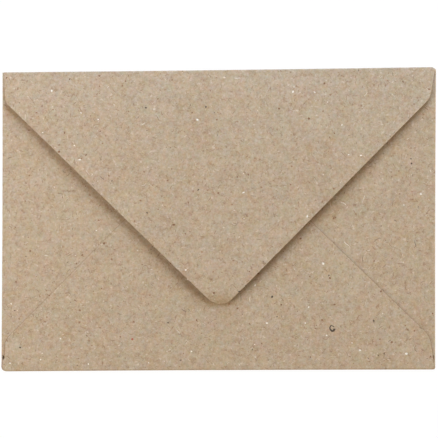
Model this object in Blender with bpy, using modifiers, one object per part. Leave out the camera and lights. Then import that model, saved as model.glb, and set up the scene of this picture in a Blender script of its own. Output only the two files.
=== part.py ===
"""A small kraft paper envelope with a pointed, gummed flap, lying on its front with the flap closed.

The real thing is one die-cut sheet. Its front panel carries two side flaps, a bottom flap and the
closure flap, each turned over at a crease, and two glued seams hold the bottom flap to the side flaps.
Each panel and each crease is an object here, and the closure flap turns on the top crease.

Metres, +Z up, +X to the right seen from the back of the envelope, +Y towards the top crease. The
origin lies on the table, under the middle of the envelope.
"""

import math

import bmesh
import bpy
from mathutils import Vector

# The folded sheet
WIDTH = 0.165  # outside of one side crease to outside of the other
HEIGHT = 0.1143  # outside of the bottom crease to outside of the top crease
PAPER = 0.00018  # thickness of the sheet
POCKET_DEPTH = 0.0006  # room that the relaxed side creases leave between the front and the side flaps
PANEL_CORNER_RADIUS = 0.0006

# The side flaps, measured from the side crease, the top crease and the bottom flap's edge
SIDE_APEX = 0.062  # side crease to the point where the flap's two cut edges would meet
SIDE_TIP_RADIUS = 0.008
SIDE_TOP_CUT = 0.0035  # top crease to the upper cut edge, at the side crease
SIDE_CORNER_RADIUS = 0.0015
SEAM_LAP = 0.008  # how far the bottom flap laps over each side flap, square to its edge

# The bottom flap
BOTTOM_APEX = 0.090  # bottom crease to the point where its two long edges would meet
BOTTOM_TIP_RADIUS = 0.020
BOTTOM_SHOULDER = 0.013  # height of the shoulder above the bottom crease
BOTTOM_SHOULDER_RADIUS = 0.005
BOTTOM_CREASE_INSET = 0.0004  # side of the envelope to the flap's edge, at the crease
BOTTOM_SHOULDER_INSET = 0.0014  # the same, at the shoulder

# The closure flap
CLOSURE_APEX = 0.0918  # top crease to the point where its two long edges would meet
CLOSURE_TIP_RADIUS = 0.0061
CLOSURE_SHOULDER = 0.011  # depth of the shoulder below the top crease
CLOSURE_SHOULDER_RADIUS = 0.006
CLOSURE_CREASE_INSET = 0.0005
CLOSURE_SHOULDER_INSET = 0.0014
CLOSURE_RISE = 0.0024  # how high the relaxed flap arches above the line from its crease to its tip

# Glue and gum
GLUE_FILM = 0.00005
GLUE_MARGIN = 0.0015  # bare paper left on each side of the glue, within the lap
GUM_FILM = 0.00005
GUM_MARGIN = 0.002  # closure flap's edge to the gum
GUM_WIDTH = 0.012
GUM_START = 0.014  # top crease to the two upper ends of the gum

# Clearances
LAP_CLEARANCE = 0.0001  # paper to a film of glue or gum
REST_CLEARANCE = 0.0003  # closure flap to what it rests on
CREASE_CLEARANCE = 0.0001  # a panel's edge to the bent strip that carries it on

# Fineness of the round shapes
ARC_STEP = math.radians(10)
CREASE_STEPS = 12
ARCH_STEPS = 16
LARGEST_FILLET_SHARE = 0.45  # of the shorter side beside a corner

# Finishes: linear base colour and roughness
KRAFT_FLAP = (0.503, 0.397, 0.279)
KRAFT_BACK = (0.485, 0.377, 0.262)
KRAFT_ROUGHNESS = 0.9
GLUE_COLOUR = (0.62, 0.52, 0.36)
GLUE_ROUGHNESS = 0.5
GUM_COLOUR = (0.56, 0.46, 0.33)
GUM_ROUGHNESS = 0.3

# Heights of the layers above the table
SIDE_UNDER = PAPER + POCKET_DEPTH
SIDE_TOP = SIDE_UNDER + PAPER
GLUE_UNDER = SIDE_TOP + LAP_CLEARANCE
BOTTOM_UNDER = GLUE_UNDER + GLUE_FILM + LAP_CLEARANCE
BOTTOM_TOP = BOTTOM_UNDER + PAPER
CLOSURE_UNDER = SIDE_TOP + REST_CLEARANCE  # at the top crease
TIP_UNDER = BOTTOM_TOP + REST_CLEARANCE

# Outer radii of the bends, and the axes that they are bent round
SIDE_BEND = SIDE_TOP / 2
BOTTOM_BEND = BOTTOM_TOP / 2
TOP_BEND = (CLOSURE_UNDER + PAPER) / 2
SIDE_AXIS_X = WIDTH / 2 - SIDE_BEND
BOTTOM_AXIS_Y = BOTTOM_BEND - HEIGHT / 2
TOP_AXIS_Y = HEIGHT / 2 - TOP_BEND

# Edges that several pieces share
PANEL_SIDE = SIDE_AXIS_X - CREASE_CLEARANCE
PANEL_BOTTOM = BOTTOM_AXIS_Y + CREASE_CLEARANCE
PANEL_TOP = TOP_AXIS_Y - CREASE_CLEARANCE
CLEAR_OF_TURNING_FLAP = TOP_AXIS_Y - TOP_BEND - CREASE_CLEARANCE

COLLECTION_NAME = "kraft_envelope"


def clear_scene():
    for obj in list(bpy.data.objects):
        bpy.data.objects.remove(obj, do_unlink=True)


def new_collection(name):
    collection = bpy.data.collections.new(name)
    bpy.context.scene.collection.children.link(collection)
    return collection


def finish_material(name, colour, roughness):
    material = bpy.data.materials.new(name)
    material.use_nodes = True
    shader = material.node_tree.nodes["Principled BSDF"]
    shader.inputs["Base Color"].default_value = (*colour, 1.0)
    shader.inputs["Roughness"].default_value = roughness
    shader.inputs["Metallic"].default_value = 0.0
    return material


def filleted(corners):
    """The outline through corners of (x, y, radius), each rounded with an arc that meets both its sides."""
    outline = []
    for k, (x, y, radius) in enumerate(corners):
        corner = Vector((x, y))
        back = Vector(corners[k - 1][:2]) - corner
        ahead = Vector(corners[(k + 1) % len(corners)][:2]) - corner
        opening = back.angle(ahead)
        turn = math.pi - opening
        longest = LARGEST_FILLET_SHARE * min(back.length, ahead.length)
        tangent = min(radius / math.tan(opening / 2), longest)
        if tangent <= 0.0 or turn < ARC_STEP / 10:
            outline.append(corner)
            continue
        bisector = (back.normalized() + ahead.normalized()).normalized()
        centre = corner + bisector * tangent / math.cos(opening / 2)
        first = corner + back.normalized() * tangent - centre
        last = corner + ahead.normalized() * tangent - centre
        steps = math.ceil(turn / ARC_STEP)
        for i in range(steps + 1):
            part = turn * i / steps
            spoke = first * math.sin(turn - part) + last * math.sin(part)
            outline.append(centre + spoke / math.sin(turn))
    return outline


def with_mirror_image(right_half):
    """Corners from a crease's right end to the apex on the centre line, and back up the left side."""
    left_half = [(-x, y, radius) for x, y, radius in reversed(right_half) if x > 0]
    return right_half + left_half


def trimmed_below(corners, lowest):
    """The corners of the part of a shape that lies above a level, with sharp corners where it is cut."""
    kept = []
    for k, (x, y, radius) in enumerate(corners):
        before_x, before_y, _ = corners[k - 1]
        if (y >= lowest) != (before_y >= lowest):
            share = (lowest - before_y) / (y - before_y)
            kept.append((before_x + share * (x - before_x), lowest, 0.0))
        if y >= lowest:
            kept.append((x, y, radius))
    return kept


def along_leg(foot, angle, along, inward):
    """A point of a flap's straight edge, or inward of it, measured from the edge's foot at the shoulder."""
    x, y = foot
    return (
        x + along * math.cos(angle) + inward * math.sin(angle),
        y + along * math.sin(angle) - inward * math.cos(angle),
    )


def flat_sheet(name, outline, underside, thickness, material):
    """A flat piece of an even thickness: a filled outline, lifted to its place in the stack."""
    curve = bpy.data.curves.new(name, "CURVE")
    curve.dimensions = "2D"
    curve.fill_mode = "BOTH"
    curve.extrude = thickness / 2
    spline = curve.splines.new("POLY")
    spline.points.add(len(outline) - 1)
    for point, (x, y) in zip(spline.points, outline):
        point.co = (x, y, 0.0, 1.0)
    spline.use_cyclic_u = True
    curve.materials.append(material)
    obj = bpy.data.objects.new(name, curve)
    obj.location.z = underside + thickness / 2
    return obj


def bent_strip(name, bend, length, axis_point, heading, material):
    """Half a turn of paper with an outer radius of bend. Its crown points along heading, an angle about Z."""
    angles = [math.pi * (i / CREASE_STEPS - 0.5) for i in range(CREASE_STEPS + 1)]
    outer = [(bend * math.cos(a), bend * math.sin(a)) for a in angles]
    inner = [((bend - PAPER) * math.cos(a), (bend - PAPER) * math.sin(a)) for a in reversed(angles)]
    obj = flat_sheet(name, outer + inner, 0.0, length, material)
    obj.rotation_euler = (math.pi / 2, 0.0, heading)
    obj.location = axis_point
    return obj


def arch(depth, tip_depth):
    """Height of the closure flap's underside above the table, at a depth below the top crease."""
    share = (depth - TOP_BEND) / (tip_depth - TOP_BEND)
    straight = CLOSURE_UNDER + (TIP_UNDER - CLOSURE_UNDER) * share
    return straight + 4 * CLOSURE_RISE * share * (1 - share)


def arched_sheet(name, outline, tip_depth, drop, thickness, material, hinge):
    """A sheet that follows the closure flap's arch, lowered by drop. Its outline is (x, depth) points."""
    shape = bmesh.new()
    shape.faces.new([shape.verts.new((x, TOP_BEND - depth, 0.0)) for x, depth in outline])
    for k in range(1, ARCH_STEPS):
        whole = shape.verts[:] + shape.edges[:] + shape.faces[:]
        line = (0.0, (TOP_BEND - tip_depth) * k / ARCH_STEPS, 0.0)
        bmesh.ops.bisect_plane(shape, geom=whole, dist=1e-7, plane_co=line, plane_no=(0.0, 1.0, 0.0))
    for vert in shape.verts:
        vert.co.z = arch(TOP_BEND - vert.co.y, tip_depth) - drop - hinge.location.z
    shape.normal_update()
    if shape.faces[:][0].normal.z < 0:
        bmesh.ops.reverse_faces(shape, faces=shape.faces[:])
    surface = bpy.data.meshes.new(name)
    shape.to_mesh(surface)
    shape.free()
    surface.materials.append(material)
    obj = bpy.data.objects.new(name, surface)
    obj.parent = hinge
    wall = obj.modifiers.new("paper_thickness", "SOLIDIFY")
    wall.thickness = thickness
    wall.offset = 1.0
    wall.use_even_offset = True
    return obj


def shade_smooth_faces(obj):
    """The object's thickened mesh takes the place of its surface, smooth but for the cut edges."""
    graph = bpy.context.evaluated_depsgraph_get()
    solid = bpy.data.meshes.new_from_object(obj.evaluated_get(graph))
    obj.modifiers.clear()
    surface = obj.data
    obj.data = solid
    solid.name = obj.name
    bpy.data.meshes.remove(surface)
    solid.shade_smooth()
    solid.set_sharp_from_angle(angle=math.radians(30))


def make_front_panel():
    corners = [
        (PANEL_SIDE, PANEL_BOTTOM, PANEL_CORNER_RADIUS),
        (PANEL_SIDE, PANEL_TOP, PANEL_CORNER_RADIUS),
        (-PANEL_SIDE, PANEL_TOP, PANEL_CORNER_RADIUS),
        (-PANEL_SIDE, PANEL_BOTTOM, PANEL_CORNER_RADIUS),
    ]
    material = finish_material("front_panel_kraft", KRAFT_BACK, KRAFT_ROUGHNESS)
    return flat_sheet("front_panel", filleted(corners), 0.0, PAPER, material)


def make_side_creases():
    """They stop short of the other two bends, where the die cut a notch at each corner."""
    length = CLEAR_OF_TURNING_FLAP - PANEL_BOTTOM
    middle = (CLEAR_OF_TURNING_FLAP + PANEL_BOTTOM) / 2
    strips = []
    for side, sign, heading in (("left", -1, math.pi), ("right", 1, 0.0)):
        name = f"{side}_crease"
        material = finish_material(f"{name}_kraft", KRAFT_BACK, KRAFT_ROUGHNESS)
        axis_point = (sign * SIDE_AXIS_X, middle, SIDE_BEND)
        strips.append(bent_strip(name, SIDE_BEND, length, axis_point, heading, material))
    return strips


def make_bottom_crease():
    length = WIDTH - 2 * BOTTOM_CREASE_INSET
    material = finish_material("bottom_crease_kraft", KRAFT_BACK, KRAFT_ROUGHNESS)
    axis_point = (0.0, BOTTOM_AXIS_Y, BOTTOM_BEND)
    return bent_strip("bottom_crease", BOTTOM_BEND, length, axis_point, -math.pi / 2, material)


def make_top_crease():
    length = WIDTH - 2 * CLOSURE_CREASE_INSET
    material = finish_material("top_crease_kraft", KRAFT_FLAP, KRAFT_ROUGHNESS)
    axis_point = (0.0, TOP_AXIS_Y, TOP_BEND)
    return bent_strip("top_crease", TOP_BEND, length, axis_point, math.pi / 2, material)


def bottom_leg():
    """Foot and slope of the bottom flap's left edge, the foot measured from the envelope's lower left."""
    foot = (BOTTOM_SHOULDER_INSET, BOTTOM_SHOULDER)
    return foot, math.atan2(BOTTOM_APEX - BOTTOM_SHOULDER, WIDTH / 2 - BOTTOM_SHOULDER_INSET)


def side_apex_height():
    """Height of the side flap's apex, on the lower cut edge that runs along the seam."""
    foot, angle = bottom_leg()
    start_x, start_y = along_leg(foot, angle, 0.0, SEAM_LAP)
    return start_y + (SIDE_APEX - start_x) * math.tan(angle)


def make_side_flaps():
    foot, angle = bottom_leg()
    base = WIDTH / 2 - PANEL_SIDE
    start_x, start_y = along_leg(foot, angle, 0.0, SEAM_LAP)
    base_low = start_y + (base - start_x) * math.tan(angle)
    corners = [
        (base, base_low, 0.0),
        (SIDE_APEX, side_apex_height(), SIDE_TIP_RADIUS),
        (base, HEIGHT - SIDE_TOP_CUT, SIDE_CORNER_RADIUS),
    ]
    corners = trimmed_below(corners, PANEL_BOTTOM + HEIGHT / 2)
    flaps = []
    for side, sign in (("left", -1), ("right", 1)):
        name = f"{side}_side_flap"
        outline = [(sign * (WIDTH / 2 - x), y - HEIGHT / 2) for x, y in filleted(corners)]
        material = finish_material(f"{name}_kraft", KRAFT_BACK, KRAFT_ROUGHNESS)
        flaps.append(flat_sheet(name, outline, SIDE_UNDER, PAPER, material))
    return flaps


def make_bottom_flap():
    right_half = [
        (WIDTH / 2 - BOTTOM_CREASE_INSET, PANEL_BOTTOM, 0.0),
        (WIDTH / 2 - BOTTOM_SHOULDER_INSET, BOTTOM_SHOULDER - HEIGHT / 2, BOTTOM_SHOULDER_RADIUS),
        (0.0, BOTTOM_APEX - HEIGHT / 2, BOTTOM_TIP_RADIUS),
    ]
    outline = filleted(with_mirror_image(right_half))
    material = finish_material("bottom_flap_kraft", KRAFT_BACK, KRAFT_ROUGHNESS)
    return flat_sheet("bottom_flap", outline, BOTTOM_UNDER, PAPER, material)


def make_seam_glue():
    """One band of glue in the middle of each lap, from the shoulder to where the side flap's tip rounds."""
    foot, angle = bottom_leg()
    rise = HEIGHT - SIDE_TOP_CUT - side_apex_height()
    upper_angle = math.atan2(rise, SIDE_APEX - (WIDTH / 2 - PANEL_SIDE))
    tip_opening = angle + upper_angle
    apex_along = (SIDE_APEX - along_leg(foot, angle, 0.0, SEAM_LAP)[0]) / math.cos(angle)
    ends = (GLUE_MARGIN, apex_along - SIDE_TIP_RADIUS / math.tan(tip_opening / 2))
    near = GLUE_MARGIN
    far = SEAM_LAP - GLUE_MARGIN
    corners = [
        along_leg(foot, angle, ends[0], far),
        along_leg(foot, angle, ends[1], far),
        along_leg(foot, angle, ends[1], near),
        along_leg(foot, angle, ends[0], near),
    ]
    bands = []
    for side, sign in (("left", -1), ("right", 1)):
        name = f"{side}_seam_glue"
        outline = [(sign * (WIDTH / 2 - x), y - HEIGHT / 2) for x, y in corners]
        material = finish_material(name, GLUE_COLOUR, GLUE_ROUGHNESS)
        bands.append(flat_sheet(name, outline, GLUE_UNDER, GLUE_FILM, material))
    return bands


def make_closure_flap(hinge):
    """The flap and its gum hang on the hinge, whose axis is the centre line of the top crease."""
    half = WIDTH / 2 - CLOSURE_SHOULDER_INSET
    leg_angle = math.atan2(CLOSURE_APEX - CLOSURE_SHOULDER, half)
    tip_depth = CLOSURE_APEX - CLOSURE_TIP_RADIUS * (1 / math.cos(leg_angle) - 1)
    right_half = [
        (WIDTH / 2 - CLOSURE_CREASE_INSET, TOP_BEND + CREASE_CLEARANCE, 0.0),
        (half, CLOSURE_SHOULDER, CLOSURE_SHOULDER_RADIUS),
        (0.0, CLOSURE_APEX, CLOSURE_TIP_RADIUS),
    ]
    outline = filleted(with_mirror_image(right_half))
    kraft = finish_material("closure_flap_kraft", KRAFT_FLAP, KRAFT_ROUGHNESS)
    flap = arched_sheet("closure_flap", outline, tip_depth, 0.0, PAPER, kraft, hinge)

    outer_apex = CLOSURE_APEX - GUM_MARGIN / math.cos(leg_angle)
    inner_apex = outer_apex - GUM_WIDTH / math.cos(leg_angle)
    right_band = [
        ((inner_apex - GUM_START) / math.tan(leg_angle), GUM_START, 0.0),
        ((outer_apex - GUM_START) / math.tan(leg_angle), GUM_START, 0.0),
        (0.0, outer_apex, CLOSURE_TIP_RADIUS - GUM_MARGIN),
    ]
    outline = filleted(with_mirror_image(right_band) + [(0.0, inner_apex, 0.0)])
    gum = finish_material("flap_gum", GUM_COLOUR, GUM_ROUGHNESS)
    drop = LAP_CLEARANCE + GUM_FILM
    band = arched_sheet("flap_gum", outline, tip_depth, drop, GUM_FILM, gum, hinge)
    return [flap, band]


def make_hinge():
    hinge = bpy.data.objects.new("closure_hinge_axis", None)
    hinge.empty_display_size = CLOSURE_SHOULDER
    hinge.location = (0.0, TOP_AXIS_Y, TOP_BEND)
    return hinge


def build_envelope():
    clear_scene()
    collection = new_collection(COLLECTION_NAME)
    hinge = make_hinge()
    flap_pieces = make_closure_flap(hinge)
    pieces = [make_front_panel(), make_bottom_crease(), make_top_crease(), make_bottom_flap()]
    pieces += make_side_creases() + make_side_flaps() + make_seam_glue() + flap_pieces
    for obj in [hinge] + pieces:
        collection.objects.link(obj)
    bpy.context.view_layer.update()
    for obj in flap_pieces:
        shade_smooth_faces(obj)


build_envelope()
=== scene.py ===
import math

import bpy
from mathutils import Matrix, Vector


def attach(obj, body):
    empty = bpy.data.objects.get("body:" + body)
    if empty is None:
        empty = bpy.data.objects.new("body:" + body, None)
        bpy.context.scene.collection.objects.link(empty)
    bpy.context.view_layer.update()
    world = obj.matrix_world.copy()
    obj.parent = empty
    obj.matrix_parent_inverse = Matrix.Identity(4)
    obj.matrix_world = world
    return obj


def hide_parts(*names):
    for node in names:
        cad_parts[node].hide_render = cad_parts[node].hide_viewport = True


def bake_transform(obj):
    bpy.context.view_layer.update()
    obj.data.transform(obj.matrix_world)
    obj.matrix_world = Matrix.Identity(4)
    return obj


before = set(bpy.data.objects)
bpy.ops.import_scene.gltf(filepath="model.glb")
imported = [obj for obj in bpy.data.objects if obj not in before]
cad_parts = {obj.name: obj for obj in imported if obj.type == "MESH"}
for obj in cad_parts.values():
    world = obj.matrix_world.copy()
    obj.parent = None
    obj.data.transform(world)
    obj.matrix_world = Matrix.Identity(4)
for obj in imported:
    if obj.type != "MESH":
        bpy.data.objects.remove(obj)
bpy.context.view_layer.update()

# Front panel. The address side of the one die-cut sheet of recycled kraft paper, and the part of it that
# stays flat. The sheet's other parts are turned in over its four sides. It lies on the table, outside down.
PAPER = 0.00018
HALF_WIDTH = 0.0825
HALF_HEIGHT = 0.05715
SIDE_BEND = 0.00048  # the radius of each bend, to its outside
BOTTOM_BEND = 0.00058
TOP_BEND = 0.00072
BOTTOM_FOLD = Vector((0.0, BOTTOM_BEND - HALF_HEIGHT, 0.0))
UP, DOWN, LEFT, RIGHT = math.radians(90), math.radians(-90), math.radians(180), 0.0
CUT_MARGIN = 0.0003
PANEL_CORNER = 0.0009
OTHER_FACE = (0.0, 0.0, 0.006)  # how far off the paper's pattern is read for the sheet's inner face
WIDEST_MARGIN = 0.2  # of a row of the cut sheet
ON_THE_LINE = 0.1  # of the cut margin
WAVES_START, WAVES_FULL = 0.001, 0.02  # distances in from the sides of the envelope
BOW_FADE = 4.0
WELD = 1e-6  # points this close together are one
SHARP = math.radians(40)  # an edge that turns more than this isn't shaded smooth
MILLIMETRES = 1000.0  # in a metre


class Tree:
    """A node tree in the making. Outputs of its nodes are passed on as they are."""

    def __init__(self, tree):
        self.tree = tree
        self.tree.nodes.clear()

    def add(self, kind, inputs=None, **settings):
        node = self.tree.nodes.new(kind)
        for setting, value in settings.items():
            setattr(node, setting, value)
        for socket, value in (inputs or {}).items():
            self.give(node.inputs[socket], value)
        return node

    def give(self, socket, value):
        if isinstance(value, bpy.types.Node):
            value = next(output for output in value.outputs if output.enabled)
        if isinstance(value, bpy.types.NodeSocket):
            self.tree.links.new(value, socket)
        elif value is not None:
            socket.default_value = value

    def math(self, operation, *values):
        node = self.add("ShaderNodeMath", operation=operation)
        for socket, value in zip(node.inputs, values):
            self.give(socket, value)
        return node.outputs[0]

    def plus(self, first, second):
        return self.math("ADD", first, second)

    def minus(self, first, second):
        return self.math("SUBTRACT", first, second)

    def times(self, first, second):
        return self.math("MULTIPLY", first, second)

    def power(self, value, exponent):
        return self.math("POWER", value, exponent)

    def size(self, value):
        return self.math("ABSOLUTE", value)

    def vector(self, operation, *values, scale=None):
        node = self.add("ShaderNodeVectorMath", operation=operation)
        for socket, value in zip(node.inputs, values):
            self.give(socket, value)
        if scale is not None:
            self.give(node.inputs["Scale"], scale)
        return node.outputs["Value" if operation == "DISTANCE" else "Vector"]

    def scaled(self, value, scale):
        return self.vector("SCALE", value, scale=scale)

    def xyz(self, x=0.0, y=0.0, z=0.0):
        return self.add("ShaderNodeCombineXYZ", {"X": x, "Y": y, "Z": z})

    def parts(self, vector):
        return self.add("ShaderNodeSeparateXYZ", {"Vector": vector}).outputs

    def ramp(self, value, low, high, start=0.0, end=1.0, smooth=True):
        """Start where value is low and end where it is high, with an even or a soft change between."""
        kind = "SMOOTHSTEP" if smooth else "LINEAR"
        inputs = {"Value": value, "From Min": low, "From Max": high, "To Min": start, "To Max": end}
        return self.add("ShaderNodeMapRange", inputs, interpolation_type=kind).outputs["Result"]

    def mix(self, share, first, second):
        node = self.add("ShaderNodeMix", data_type="VECTOR")
        self.give(node.inputs["Factor"], share)
        vectors = [socket for socket in node.inputs if socket.type == "VECTOR" and socket.enabled]
        self.give(vectors[-2], first)
        self.give(vectors[-1], second)
        return next(socket for socket in node.outputs if socket.type == "VECTOR")

    def noise(self, place, scale, detail, seed=None, **more):
        """A noise's outputs. One with a seed is four-dimensional."""
        inputs = {"Vector": place, "Scale": scale, "Detail": detail, **more}
        if seed is None:
            return self.add("ShaderNodeTexNoise", inputs).outputs
        return self.add("ShaderNodeTexNoise", {**inputs, "W": seed}, noise_dimensions="4D").outputs

    def scatter(self, place, scale, detail, seed=None, **more):
        """A noise that strays to all sides of zero."""
        colour = self.noise(place, scale, detail, seed, **more)["Color"]
        return self.vector("SUBTRACT", colour, (0.5, 0.5, 0.5))


class Steps(Tree):
    """A Geometry Nodes tree whose sizes are named inputs. It ends in Realize Instances and Set Material."""

    KINDS = {float: "Float", int: "Int", bool: "Bool", Vector: "Vector"}

    def __init__(self, name, sizes):
        super().__init__(bpy.data.node_groups.new(name, "GeometryNodeTree"))
        sockets = self.tree.interface
        sockets.new_socket("Geometry", in_out="INPUT", socket_type="NodeSocketGeometry")
        sockets.new_socket("Geometry", in_out="OUTPUT", socket_type="NodeSocketGeometry")
        for label, value in sizes.items():
            kind = self.KINDS.get(type(value), "Object")
            socket = sockets.new_socket(label, in_out="INPUT", socket_type=f"NodeSocket{kind}")
            if kind != "Object":
                socket.default_value = value
        sockets.new_socket("Material", in_out="INPUT", socket_type="NodeSocketMaterial")
        self.given = self.tree.nodes.new("NodeGroupInput").outputs

    def mark(self, geometry, name, value, kind="FLOAT", where=True):
        inputs = {"Geometry": geometry, "Selection": where, "Name": name, "Value": value}
        return self.add("GeometryNodeStoreNamedAttribute", inputs, data_type=kind, domain="POINT")

    def marked(self, name, kind="FLOAT"):
        return self.add("GeometryNodeInputNamedAttribute", {"Name": name}, data_type=kind)

    def moved(self, geometry, **how):
        return self.add("GeometryNodeSetPosition", {"Geometry": geometry, **how})

    def joined(self, *geometries):
        whole = self.add("GeometryNodeJoinGeometry")
        for geometry in geometries:
            self.give(whole.inputs[0], geometry)
        return whole

    def welded(self, geometry):
        return self.add("GeometryNodeMergeByDistance", {"Geometry": geometry, "Distance": WELD})

    def realized(self, geometry):
        return self.add("GeometryNodeRealizeInstances", {"Geometry": geometry})

    def grid(self, columns, rows):
        """A square grid, one wide and high, and its points' places."""
        inputs = {"Size X": 1.0, "Size Y": 1.0, "Vertices X": columns, "Vertices Y": rows}
        return self.add("GeometryNodeMeshGrid", inputs), self.parts(self.add("GeometryNodeInputPosition"))

    def end(self, geometry):
        inputs = {"Geometry": self.realized(geometry), "Material": self.given["Material"]}
        finished = self.add("GeometryNodeSetMaterial", inputs)
        self.give(self.tree.nodes.new("NodeGroupOutput").inputs[0], finished)
        return self.tree


class Finish(Tree):
    """A material in the making. It ends in one shader for the surface."""

    def __init__(self, name):
        self.material = bpy.data.materials.new(name)
        self.material.use_nodes = True
        super().__init__(self.material.node_tree)

    def attribute(self, name, output="Fac"):
        return self.add("ShaderNodeAttribute", attribute_name=name).outputs[output]

    def end(self, shader):
        self.add("ShaderNodeOutputMaterial", {"Surface": shader})
        return self.material


def heading_axes(steps, heading):
    """Unit vectors out over a fold, and along it."""
    cosine, sine = steps.math("COSINE", heading), steps.math("SINE", heading)
    return steps.xyz(cosine, sine), steps.xyz(sine, steps.times(cosine, -1.0))


def placed(steps, middle, out, along, across, outward, height):
    """The point that lies across and outward from the middle of a fold, at a height."""
    point = steps.vector("ADD", middle, steps.scaled(along, across))
    point = steps.vector("ADD", point, steps.scaled(out, outward))
    return steps.vector("ADD", point, steps.xyz(z=height))


def cut_sheet_steps():
    """A sheet inside a cut line that is drawn flat as (across, depth) from its fold, with corner radii. Rows
    run from the line's one side to the other. The sheet is then laid or folded over, and arched."""
    steps = Steps("cut_sheet", {
        "Rows": 60, "Columns": 60, "Share to tip": 0.5, "Share from tip": 0.5, "Cut margin": CUT_MARGIN,
        "Edge press": 0.0, "Cut all round": True, "Fold middle": Vector(), "Fold heading": UP,
        "Fold radius": 0.0, "Folded over": True, "Height at fold": 0.0, "Height at tip": 0.0,
        "Tip depth": 0.1, "Arch rise": 0.0, "Arch crest": 0.8, "Arch lift": 2.0, "Arch drop": 3.6,
        "Arch lean": 0.0,
    })
    given = steps.given
    line = steps.add("GeometryNodeMeshToCurve", {"Mesh": given["Geometry"]})
    inputs = {"Curve": line, "Count": 10, "Radius": steps.marked("corner_radius"), "Limit Radius": True}
    line = steps.add("GeometryNodeFilletCurve", inputs, mode="POLY")

    grid, place = steps.grid(given["Columns"], given["Rows"])
    column, row = steps.plus(place["X"], 0.5), steps.plus(place["Y"], 0.5)
    to_tip = steps.times(row, given["Share to tip"])
    from_tip = steps.minus(1.0, steps.times(row, given["Share from tip"]))
    ends = [steps.add("GeometryNodeSampleCurve", {"Curves": line, "Factor": share}).outputs["Position"]
            for share in (to_tip, from_tip)]
    width = steps.math("MAXIMUM", steps.vector("DISTANCE", *ends), WELD)
    margin = steps.math("MINIMUM", steps.math("DIVIDE", given["Cut margin"], width), WIDEST_MARGIN)
    gap = steps.math("DIVIDE", 1.0, steps.minus(given["Columns"], 1.0))
    inner = steps.ramp(column, gap, steps.minus(1.0, gap), margin, steps.minus(1.0, margin), smooth=False)
    half_gap = steps.times(gap, 0.5)
    past_first = steps.math("GREATER_THAN", column, half_gap)
    past_last = steps.math("GREATER_THAN", column, steps.minus(1.0, half_gap))
    drawn = steps.mix(steps.math("MAXIMUM", steps.times(inner, past_first), past_last), *ends)
    drawn_parts = steps.parts(drawn)
    across, depth = drawn_parts["X"], drawn_parts["Y"]

    edge = steps.add("GeometryNodeCurveToMesh", {"Curve": line})
    inputs = {"Geometry": edge, "Sample Position": drawn}
    near = steps.add("GeometryNodeProximity", inputs, target_element="EDGES")
    # The points on the cut line. They are pressed thinner, and the paper's material paints shade or a
    # highlight on them.
    cut = steps.math("LESS_THAN", near.outputs["Distance"], steps.times(given["Cut margin"], ON_THE_LINE))
    cut = steps.times(cut, given["Cut all round"])

    middle, over = given["Fold middle"], given["Folded over"]
    axes = heading_axes(steps, given["Fold heading"])
    turn_length = steps.times(steps.times(given["Fold radius"], math.pi), over)
    flat = placed(steps, middle, *axes, across, steps.plus(depth, turn_length), 0.0)
    heights = given["Height at fold"], given["Height at tip"]
    height = steps.ramp(depth, 0.0, given["Tip depth"], *heights, smooth=False)
    share = steps.ramp(depth, 0.0, given["Tip depth"], smooth=False)
    before_crest = steps.ramp(share, 0.0, given["Arch crest"], 1.0, 0.0, smooth=False)
    past_crest = steps.ramp(share, given["Arch crest"], 1.0, 0.0, 1.0, smooth=False)
    lifted = steps.minus(1.0, steps.power(before_crest, given["Arch lift"]))
    dropped = steps.minus(1.0, steps.power(past_crest, given["Arch drop"]))
    leaning = steps.times(steps.times(share, across), given["Arch lean"])
    hump = steps.times(steps.plus(steps.times(lifted, given["Arch rise"]), leaning), dropped)
    height = steps.minus(steps.plus(height, hump), steps.times(cut, given["Edge press"]))
    outward = steps.times(depth, steps.minus(1.0, steps.times(over, 2.0)))
    folded = placed(steps, middle, *axes, across, outward, height)

    sheet = steps.mark(grid, "sheet_place", flat, "FLOAT_VECTOR")
    sheet = steps.mark(sheet, "cut_edge", cut)
    return steps.end(steps.welded(steps.moved(sheet, Position=folded)))


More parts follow.
